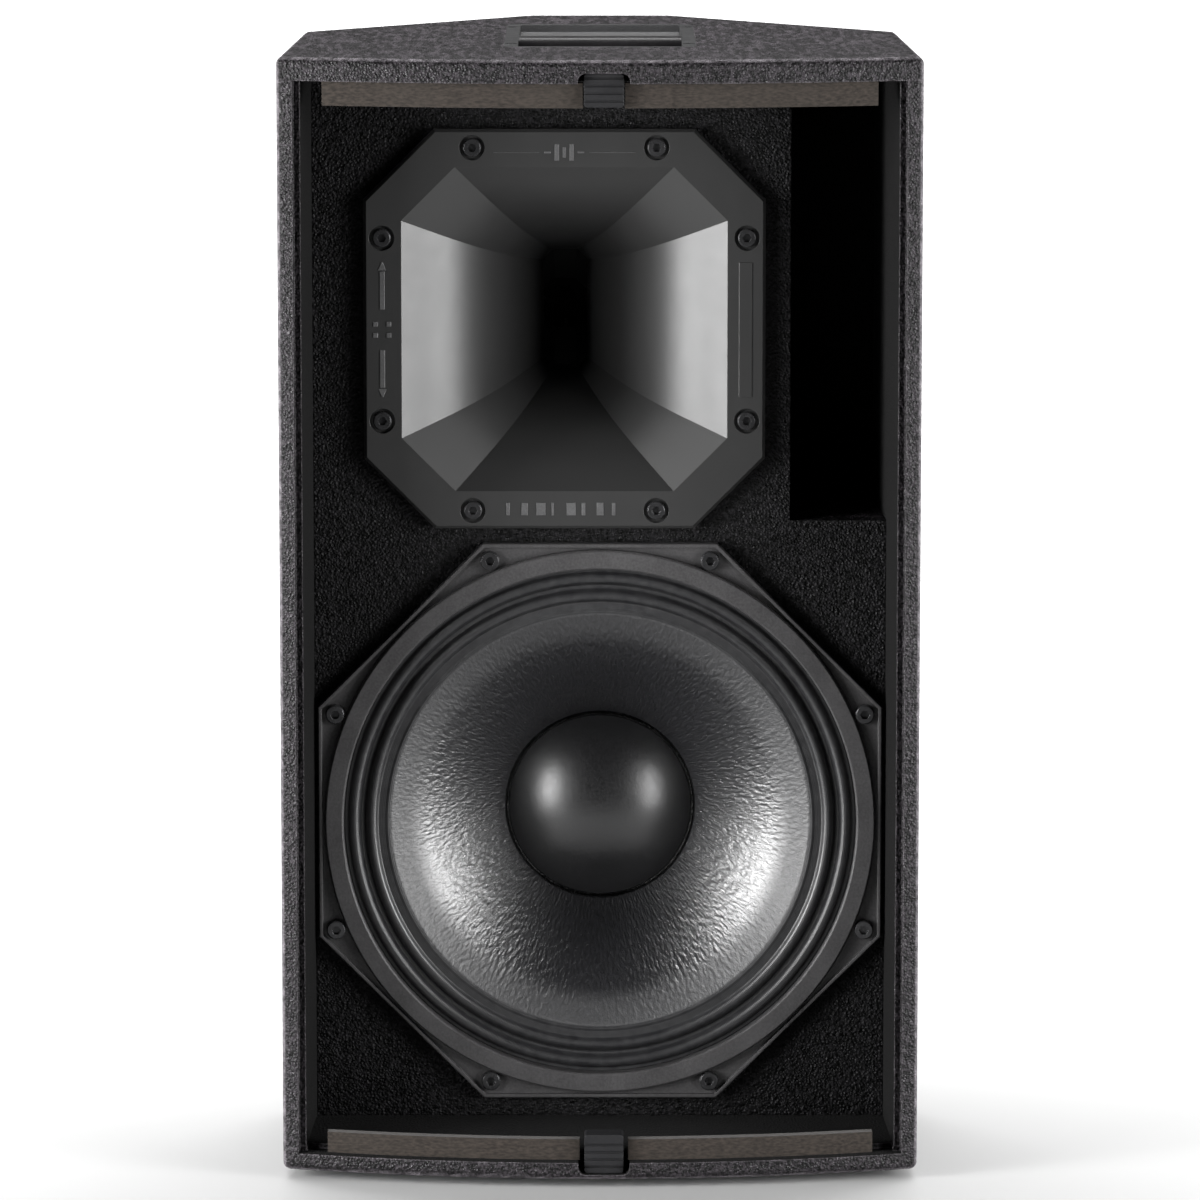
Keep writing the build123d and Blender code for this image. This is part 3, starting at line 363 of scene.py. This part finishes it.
def woven(name, dark, light, pitch, roughness):
    """Open cloth of crossed threads, for the spider."""
    recipe = Recipe(name)
    arc, radius, _ = recipe.around(WOOFER_CENTRE, 75 * MM)
    threads = recipe.maths("MULTIPLY", recipe.ripple(arc, pitch), recipe.ripple(radius, pitch))
    recipe.bump(threads, 0.25 * MM)
    stain = recipe.spread(recipe.noise(14 * MM, 3.0), 0.0, 0.5)
    shade = recipe.blend(threads, dark, light)
    shade = recipe.blend(stain, shade, tuple(value * 0.7 for value in light))
    return recipe.done(shade, roughness)


def wadding():
    """Loose off-white fibre wadding."""
    recipe = Recipe("wadding")
    tangle = recipe.noise(3.0 * MM, 6.0)
    recipe.bump(tangle, 2.0 * MM)
    tufts = recipe.noise(22 * MM, 3.0)
    recipe.bump(tufts, 5.0 * MM, 0.6)
    shade = recipe.blend(recipe.spread(tangle, 0.0, 1.0), (0.36, 0.34, 0.30), (0.74, 0.72, 0.67))
    return recipe.done(shade, 0.95, Sheen_Weight=0.3)


def turned_metal(name, colour, roughness, centre, pitch=0.5 * MM):
    """Plated or bare metal with fine turning marks about the forward axis."""
    recipe = Recipe(name)
    recipe.rounded(0.6 * MM)
    arc, radius, _ = recipe.around(centre, 40 * MM)
    rings = recipe.noise(pitch, 2.0, recipe.joined(recipe.maths("MULTIPLY", arc, 0.03), radius, 0.0))
    recipe.bump(rings, 0.03 * MM, 0.6)
    stain = recipe.noise(18 * MM, 4.0)
    dull = tuple(value * 0.72 for value in colour)
    shade = recipe.blend(recipe.spread(stain, 0.0, 1.0), dull, colour)
    return recipe.done(shade, recipe.spread(stain, roughness + 0.12, roughness - 0.05), Metallic=1.0)


def wound_copper(name, across):
    """Enamelled copper wire: turns side by side across one axis."""
    recipe = Recipe(name)
    parts = recipe.add("ShaderNodeSeparateXYZ")
    recipe.feed(parts.inputs[0], recipe.place)
    turns = recipe.ripple(parts.outputs[across], 0.9 * MM)
    recipe.bump(turns, 0.3 * MM)
    shade = recipe.blend(turns, (0.24, 0.085, 0.035), (0.72, 0.33, 0.17))
    tarnish = recipe.spread(recipe.noise(8 * MM, 3.0), 0.0, 0.4)
    shade = recipe.blend(tarnish, shade, (0.35, 0.16, 0.09))
    return recipe.done(shade, 0.33, Metallic=1.0)


def board_laminate():
    """Green solder mask over broad copper tracks."""
    recipe = Recipe("board_laminate")
    recipe.rounded(0.4 * MM)
    tracks = recipe.spread(recipe.cells(11 * MM, feature="DISTANCE_TO_EDGE"), 0.0, 1.0, 0.08, 0.12)
    recipe.bump(tracks, 0.05 * MM)
    shade = recipe.blend(tracks, (0.012, 0.075, 0.030), (0.030, 0.15, 0.06))
    grime = recipe.spread(recipe.noise(20 * MM, 3.0), 0.0, 0.3)
    shade = recipe.blend(grime, shade, (0.03, 0.07, 0.04))
    return recipe.done(shade, 0.28)


def printed(name, base, patch, roughness, size):
    """A smooth wrapped or cast component with blotches of a second tone."""
    recipe = Recipe(name)
    recipe.rounded(0.5 * MM)
    blotch = recipe.noise(size, 4.0)
    recipe.bump(recipe.noise(1.2 * MM, 3.0), 0.08 * MM)
    shade = recipe.blend(recipe.spread(blotch, 0.0, 1.0), base, patch)
    return recipe.done(shade, recipe.spread(blotch, roughness - 0.05, roughness + 0.05))


def coated_materials():
    """Paint, rubber, castings, plastics and coated steel, by slot."""
    return {
        # The third colour is the painted highlight on the cabinet's edges.
        "cabinet_paint": pebbled_paint("cabinet_paint", (0.002, 0.0018, 0.002), (0.030, 0.026, 0.030),
                                       (0.15, 0.137, 0.15), 0.20),
        "black_rubber": moulded("black_rubber", (0.009, 0.009, 0.010), 0.55, 1.1 * MM, 0.08 * MM,
                                0.6 * MM, Specular_IOR_Level=0.25),
        "cast_frame": moulded("cast_frame", (0.036, 0.035, 0.036), 0.44, 0.9 * MM, 0.10 * MM,
                              0.9 * MM, 0.3, Specular_IOR_Level=0.35),
        "ferrite": moulded("ferrite", (0.050, 0.050, 0.055), 0.6, 1.6 * MM, 0.2 * MM, 0.8 * MM, 0.35),
        "black_plastic": moulded("black_plastic", (0.024, 0.024, 0.025), 0.42, 0.8 * MM, 0.06 * MM,
                                 0.7 * MM),
        "black_steel": moulded("black_steel", (0.045, 0.045, 0.047), 0.28, 1.4 * MM, 0.04 * MM,
                               0.5 * MM, 0.2, Metallic=0.7),
        "horn_plastic": moulded("horn_plastic", (0.017, 0.017, 0.017), 0.41, 1.0 * MM, 0.012 * MM,
                                0.4 * MM, 0.03, 0.015),
        "handle_grip": moulded("handle_grip", (0.014, 0.013, 0.014), 0.34, 1.0 * MM, 0.05 * MM,
                               1.2 * MM),
        "panel_steel": moulded("panel_steel", (0.034, 0.034, 0.036), 0.44, 0.9 * MM, 0.12 * MM,
                               0.8 * MM, 0.3),
        "socket_plastic": moulded("socket_plastic", (0.022, 0.023, 0.028), 0.25, 1.2 * MM, 0.03 * MM,
                                  0.6 * MM),
        "lead_sheath": moulded("lead_sheath", (0.030, 0.030, 0.031), 0.45, 1.5 * MM, 0.05 * MM,
                               0.4 * MM),
    }


def other_materials():
    """Felt, cloth, pulp, bare metal, copper and the crossover's parts, by slot."""
    return {
        "wadding": wadding(),
        "strip_felt": strip_felt(),
        "surround_cloth": surround_cloth(),
        "cone_paper": cone_paper(),
        "cap_paper": cap_paper(),
        "copper_winding": wound_copper("copper_winding", 1),
        "spider_cloth": woven("spider_cloth", (0.20, 0.13, 0.05), (0.56, 0.42, 0.21), 1.4 * MM, 0.8),
        "plated_steel": turned_metal("plated_steel", PLATED_STEEL, 0.30, WOOFER_CENTRE),
        "diaphragm_metal": turned_metal("diaphragm_metal", (0.80, 0.80, 0.80), 0.22, HORN_CENTRE,
                                        0.8 * MM),
        "board_laminate": board_laminate(),
        "capacitor_film": printed("capacitor_film", (0.55, 0.42, 0.08), (0.75, 0.62, 0.18), 0.3,
                                  15 * MM),
        "resistor_ceramic": printed("resistor_ceramic", (0.72, 0.70, 0.64), (0.86, 0.85, 0.80), 0.6,
                                    4 * MM),
    }


MATERIALS = {**coated_materials(), **other_materials()}


def dress(obj, material):
    """Gives an object one material in all its slots."""
    if not obj.material_slots:
        obj.data.materials.append(material)
    for slot in obj.material_slots:
        slot.material = material


def dress_frame():
    """Every CAD node gets its slot's material, and three get a version of their own.

    The baffle's paint is darker, the crossover coils are wound the other way, and the horn
    driver's front plate is turned about the horn's axis.
    """
    for name, obj in NODES.items():
        dress(obj, MATERIALS[SUBPARTS[name]])
    # The third colour is the painted highlight on the baffle's edges.
    baffle = pebbled_paint("baffle_paint", (0.0006, 0.0006, 0.0006), (0.010, 0.0095, 0.0105),
                           (0.015, 0.015, 0.015), 0.10)
    dress(NODES["front_baffle"], baffle)
    dress(NODES["crossover_coils"], wound_copper("crossover_winding", 2))
    plate = turned_metal("hf_plated_steel", PLATED_STEEL, 0.30, HORN_CENTRE)
    dress(NODES["hf_front_plate"], plate)


dress_frame()


# ---------------------------------------------------------------- turned pieces, in mm


def circular_rise(radius, start, end, height):
    """How far a circular roll between two radii stands forward at a radius."""
    half = (end - start) / 2
    bend = (half**2 + height**2) / (2 * abs(height))
    offset = radius - (start + end) / 2
    if abs(offset) >= half:
        return 0.0
    return math.copysign(math.sqrt(bend**2 - offset**2) - bend + abs(height), height)


def smoothed(values, reach):
    """A running mean over reach points on each side, with the ends held."""
    padded = np.pad(values, reach, mode="edge")
    window = np.ones(2 * reach + 1) / (2 * reach + 1)
    return np.convolve(padded, window, mode="valid")


def rolled_line(inner, outer, plane, rolls, step, reach):
    """Front line of a rolled ring, as (radius, depth) points.

    Each roll is its start and end radius and its height forward of the plane.
    """
    radii = np.linspace(inner, outer, int((outer - inner) / step) + 1)
    rises = [sum(circular_rise(radius, *roll) for roll in rolls) for radius in radii]
    return np.column_stack((radii, plane - smoothed(np.array(rises), reach)))


def skin_outline(line, thickness):
    """Closed outline of a skin whose front face runs along line, from the inner radius outwards."""
    along = np.gradient(line, axis=0)
    along /= np.linalg.norm(along, axis=1)[:, None]
    back = line + thickness * np.column_stack((-along[:, 1], along[:, 0]))
    return np.vstack((line, back[::-1]))


def turned(name, centre, outline, segments, relief=None):
    """The outline turned about the forward axis through centre, with an optional relief in depth."""
    angles = np.linspace(0, 2 * math.pi, segments, endpoint=False)
    radii, depths = np.array(outline).T
    depths = np.tile(depths, (segments, 1))
    if relief:
        depths += relief(angles, radii)
    sideways = np.outer(np.cos(angles), radii) * MM + centre.x
    upwards = np.outer(np.sin(angles), radii) * MM + centre.z
    grid = np.stack((sideways, depths * MM, upwards), axis=2)
    rows = np.arange(segments)[:, None] * len(radii)
    columns = np.arange(len(radii))[None, :]
    next_rows, next_columns = np.roll(rows, -1, axis=0), np.roll(columns, -1, axis=1)
    corners = (rows + columns, rows + next_columns, next_rows + next_columns, next_rows + columns)
    faces = np.stack(corners, axis=2)
    mesh = bpy.data.meshes.new(name)
    mesh.from_pydata(grid.reshape(-1, 3).tolist(), [], faces.reshape(-1, 4).tolist())
    mesh.polygons.foreach_set("use_smooth", [True] * len(mesh.polygons))
    return finished_piece(name, mesh)


def finished_piece(name, mesh):
    """Welds doubled points, turns the faces outwards and puts the mesh in the scene."""
    shape = bmesh.new()
    shape.from_mesh(mesh)
    bmesh.ops.remove_doubles(shape, verts=shape.verts, dist=0.001 * MM)
    bmesh.ops.recalc_face_normals(shape, faces=shape.faces)
    shape.to_mesh(mesh)
    shape.free()
    piece = bpy.data.objects.new(name, mesh)
    bpy.context.scene.collection.objects.link(piece)
    return piece


def stand_in(piece, node):
    """The piece stands in for a CAD node, which is hidden, and takes the material of the node's slot."""
    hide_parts(node)
    dress(piece, MATERIALS[SUBPARTS[node]])


def suspend(ring, centre):
    """Unrolls the ring along its radius about centre, bakes its transform into the mesh, then puts its
    round shape back.
    """
    vertices = ring.data.vertices
    round_shape = np.empty(len(vertices) * 3)
    vertices.foreach_get("co", round_shape)
    x, _, z = round_shape.reshape(-1, 3).T
    unrolled = np.zeros((len(vertices), 3))
    unrolled[:, 0] = np.hypot(x - centre.x, z - centre.z)
    vertices.foreach_set("co", unrolled.ravel())
    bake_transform(ring)
    vertices.foreach_set("co", round_shape)
    ring.data.update()


def make_surround():
    """Cloth surround with two rolls, a valley between them and a small ridge where the cone is glued."""
    inner, outer, plane, cloth = 137.5, 167.0, -81.5, 1.0
    inner_roll, outer_roll = (145.5, 153.0, 3.2), (157.0, 164.5, 3.2)
    valley = (153.0, 157.0, -1.5)
    ridge = (137.9, 140.1, 0.45)
    rolls = (inner_roll, valley, outer_roll, ridge)
    line = rolled_line(inner, outer, plane, rolls, step=0.3, reach=2)
    ring = turned("woofer_surround_rolls", WOOFER_CENTRE, skin_outline(line, cloth), 288)
    suspend(ring, WOOFER_CENTRE)
    stand_in(ring, "woofer_surround")


def make_spider():
    """Corrugated spider, flat where it is glued to the basket and to the coil former."""
    inner, outer, plane, cloth = 50.9, 100.0, 1.6, 0.7
    first_fold, last_fold, pitch, fold_height, fold_fade = 52.5, 97.0, 5.0, 1.3, 3.0
    step_start, step_width, step_height = 92.0, 6.0, 1.4
    radii = np.linspace(inner, outer, 164)
    fade = np.clip(np.minimum(radii - first_fold, last_fold - radii) / fold_fade, 0.0, 1.0)
    depths = plane + fold_height * fade * np.sin(2 * math.pi * (radii - first_fold) / pitch)
    depths += step_height * np.clip((radii - step_start) / step_width, 0.0, 1.0)
    line = np.column_stack((radii, depths))
    ring = turned("woofer_spider_cloth", WOOFER_CENTRE, skin_outline(line, cloth), 288)
    suspend(ring, WOOFER_CENTRE)
    stand_in(ring, "woofer_spider")


def make_hf_surround():
    """Thin rolled edge that carries the horn driver's dome."""
    inner, outer, plane, film = 37.9, 44.0, 108.3, 0.15
    roll = (39.2, 42.8, 0.25)
    line = rolled_line(inner, outer, plane, (roll,), step=0.1, reach=2)
    ring = turned("hf_surround_roll", HORN_CENTRE, skin_outline(line, film), 144)
    suspend(ring, HORN_CENTRE)
    stand_in(ring, "hf_surround")


def pucker_relief(angles, radii):
    """Puckers drawn out towards the neck, under half a millimetre deep, on the cone's front only."""
    across, along = 60.0, 3.2
    coarse, fine, fineness = 0.30, 0.12, 2.3
    first, last, fade_width = 56.0, 134.0, 5.0
    relief = np.zeros((len(angles), len(radii)))
    front = len(radii) // 2
    for column, radius in enumerate(radii[:front]):
        fade = min(1.0, max(0.0, (last - radius) / fade_width), max(0.0, (radius - first) / fade_width))
        if fade == 0.0:
            continue
        for row, angle in enumerate(angles):
            place = Vector((across * math.cos(angle), across * math.sin(angle), radius / along))
            depth = coarse * noise.noise(place) + fine * noise.noise(place * fineness)
            relief[row, column] = fade * depth
    return relief


def make_cone():
    """Pulp cone: a curved flare with a puckered front, a flat glued edge and a neck on the coil former."""
    edge, middle, neck = (137.0, -80.5), (92.0, -50.0), (52.4, -9.0)
    neck_radii, glued_radii, pulp = (50.75, 51.5), (138.5, 141.0, 145.3), 1.4
    line = [(radius, neck[1]) for radius in neck_radii]
    line += circle_points(neck, middle, edge, 84)
    line += [(radius, edge[1]) for radius in glued_radii]
    outline = skin_outline(np.array(line), pulp)
    cone = turned("woofer_cone_pulp", WOOFER_CENTRE, outline, 960, pucker_relief)
    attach(cone, CONE_BODY)
    stand_in(cone, "woofer_cone")


def make_dust_cap():
    """Domed cap, glued to the cone's front over the voice coil."""
    radius, height, wall = CAP_RADIUS / MM, 24.0, 1.2
    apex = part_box("woofer_dust_cap")[0].y / MM
    bend = (radius**2 + height**2) / (2 * height)
    radii = np.linspace(0.0, radius, 60)
    line = np.column_stack((radii, apex + bend - np.sqrt(bend**2 - radii**2)))
    outline = skin_outline(line, wall)
    # The inside ends on the axis too, so both poles weld to one point.
    outline[-1, 0] = 0.0
    cap = turned("woofer_dust_cap_dome", WOOFER_CENTRE, outline, 192)
    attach(cap, CONE_BODY)
    stand_in(cap, "woofer_dust_cap")


def circle_points(start, middle, end, count):
    """Points from start to end along the circle through three points."""
    (ax, ay), (bx, by), (cx, cy) = start, middle, end
    across = 2 * (ax * (by - cy) + bx * (cy - ay) + cx * (ay - by))
    a_square, b_square, c_square = ax**2 + ay**2, bx**2 + by**2, cx**2 + cy**2
    x = (a_square * (by - cy) + b_square * (cy - ay) + c_square * (ay - by)) / across
    y = (a_square * (cx - bx) + b_square * (ax - cx) + c_square * (bx - ax)) / across
    first, last = math.atan2(ay - y, ax - x), math.atan2(cy - y, cx - x)
    bend = math.hypot(ax - x, ay - y)
    angles = np.linspace(first, last, count)
    return [(x + bend * math.cos(angle), y + bend * math.sin(angle)) for angle in angles]


# ---------------------------------------------------------------- marks moulded in the horn's flange


def raised_mark(shape, left, right, bottom, top, point=0):
    """A low block with drafted sides on the flange, in mm from the horn's centre.

    point is 1 for a block that narrows to its top end, -1 for one that narrows to its bottom end.
    """
    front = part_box("horn")[0].y
    draft, height, sunk, tip_share = 0.35, 0.45, 0.2, 0.25
    middle_x, middle_z = (left + right) / 2, (bottom + top) / 2
    outline = [(left, bottom), (right, bottom), (right, top), (left, top)]
    if point:
        tip = top if point > 0 else bottom
        outline = [(middle_x + (x - middle_x) * (tip_share if z == tip else 1.0), z) for x, z in outline]
    foot = [(x, sunk, z) for x, z in outline]
    crown = [(x + math.copysign(min(draft, abs(x - middle_x) / 2), middle_x - x), -height,
              z + math.copysign(draft, middle_z - z)) for x, z in outline]
    corners = [shape.verts.new((HORN_CENTRE.x + x * MM, front + y * MM, HORN_CENTRE.z + z * MM))
               for x, y, z in foot + crown]
    shape.faces.new(corners[4:])
    for index in range(4):
        following = (index + 1) % 4
        shape.faces.new((corners[index], corners[following], corners[following + 4], corners[index + 4]))


def light_marks(shape):
    """Generic marks: a framed block above, two slim arrows and four studs left, a row of bars below."""
    stud = 1.7
    for side in (-1, 1):
        short_dash = sorted((side * 8.5, side * 13))
        long_dash = sorted((side * 16, side * 46))
        block = side * 4.8
        raised_mark(shape, *short_dash, 114.2, 115.8)
        raised_mark(shape, *long_dash, 114.6, 115.4)
        raised_mark(shape, block - 1.6, block + 1.6, 109.5, 120.5)
        arrow_shaft = sorted((side * 13, side * 38))
        arrow_head = sorted((side * 38.4, side * 44))
        raised_mark(shape, -119.6, -116.0, *arrow_shaft)
        raised_mark(shape, -120.6, -115.0, *arrow_head, side)
        for column in (-122.2, -113.6):
            row = side * 3.6
            raised_mark(shape, column - stud, column + stud, row - stud, row + stud)
    raised_mark(shape, -1.2, 1.2, 111.5, 118.5)
    first_bar, bar_pitch = -38, 9.8
    for index, width in enumerate((2.6, 4.6, 6.2, 1.8, 6.2, 2.6, 4.6, 2.6)):
        left = first_bar + index * bar_pitch
        raised_mark(shape, left, left + width, -121.3, -112.7)


def plain_rib(shape):
    """A broad low rib between the screws on the right."""
    left, right, half_height = 112.6, 121.6, 44
    raised_mark(shape, left, right, -half_height, half_height)


def make_flange_piece(name, draw, material):
    """A piece of raised marks on the horn's flange."""
    shape = bmesh.new()
    draw(shape)
    mesh = bpy.data.meshes.new(name)
    shape.to_mesh(mesh)
    shape.free()
    piece = finished_piece(name, mesh)
    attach(piece, CABINET)
    dress(piece, material)


make_surround()
make_spider()
make_hf_surround()
make_cone()
make_dust_cap()
mark_plastic = moulded("horn_mark_plastic", (0.060, 0.060, 0.061), 0.42, 0.8 * MM, 0.02 * MM, 0.2 * MM)
make_flange_piece("horn_flange_marks", light_marks, mark_plastic)
make_flange_piece("horn_flange_rib", plain_rib, MATERIALS[SUBPARTS["horn"]])


# ---------------------------------------------------------------- stage, lights, camera


def make_floor():
    """A wide pale floor that also fills the background."""
    half = 60.0
    dark, light = (0.37, 0.37, 0.37), (0.39, 0.39, 0.39)
    mesh = bpy.data.meshes.new("floor")
    corners = [(-half, -half, 0), (half, -half, 0), (half, half, 0), (-half, half, 0)]
    mesh.from_pydata(corners, [], [(0, 1, 2, 3)])
    floor = bpy.data.objects.new("floor", mesh)
    bpy.context.scene.collection.objects.link(floor)
    recipe = Recipe("floor_paper")
    tone = recipe.spread(recipe.noise(0.8, 2.0), 0.0, 1.0)
    shade = recipe.blend(tone, dark, light)
    dress(floor, recipe.done(shade, 0.9))


def add_softbox(name, place, target, size, radiance, spread=180):
    """A gridded area light aimed at target, of the given radiance straight ahead; spread is in degrees."""
    half = math.radians(spread) / 2
    direction = Vector(place) - Vector(target)
    light = bpy.data.lights.new(name, "AREA")
    light.shape = "RECTANGLE"
    light.size, light.size_y = size
    light.spread = 2 * half
    light.energy = radiance * math.pi * size[0] * size[1] * (1 - half / math.tan(half))
    lamp = bpy.data.objects.new(name, light)
    lamp.location = place
    lamp.rotation_euler = direction.to_track_quat("Z", "Y").to_euler()
    lamp.visible_camera = False
    bpy.context.scene.collection.objects.link(lamp)
    return lamp


def make_lights():
    """Gridded softboxes low on both sides, rim and top lights, a wash on the floor, a faint fill."""
    middle = (0, -0.08, 0.42)
    grid = 84
    for name, side, strength in (("left", -1, 1.0), ("right", 1, 0.70)):
        front = (side * 1.58, -1.36, 0.50)
        beside = (side * 1.90, -0.96, 0.62)
        behind = (side * 2.6, 1.9, 1.3)
        add_softbox("front_" + name, front, middle, (0.75, 1.0), 22.0 * strength, grid)
        add_softbox("side_" + name, beside, middle, (0.7, 1.2), 40.0 * strength, grid)
        add_softbox("rim_" + name, behind, middle, (1.2, 2.4), 5.0)
    add_softbox("top_light", (0, 1.6, 2.6), (0, 0, 0.7), (2.4, 0.8), 4.2)
    wash = add_softbox("floor_wash", (0, 9.4, 3.2), (0, 9.4, 0), (18.0, 18.0), 14.0, 110)
    wash.visible_glossy = False
    world = bpy.data.worlds.new("studio")
    world.use_nodes = True
    background = world.node_tree.nodes["Background"]
    background.inputs["Color"].default_value = (1.0, 1.0, 1.0, 1.0)
    background.inputs["Strength"].default_value = 0.03
    bpy.context.scene.world = world


def make_camera():
    """A long lens a little above the object, looking down slightly."""
    down = 8.77
    data = bpy.data.cameras.new("camera")
    data.sensor_width = 36
    data.lens = 215.26
    data.clip_end = 200
    camera = bpy.data.objects.new("camera", data)
    camera.location = (0, -4.7, 1.0777)
    camera.rotation_euler = (math.radians(90 - down), 0, 0)
    bpy.context.scene.collection.objects.link(camera)
    bpy.context.scene.camera = camera
    bpy.context.scene.view_settings.view_transform = "Standard"


make_floor()
make_lights()
make_camera()
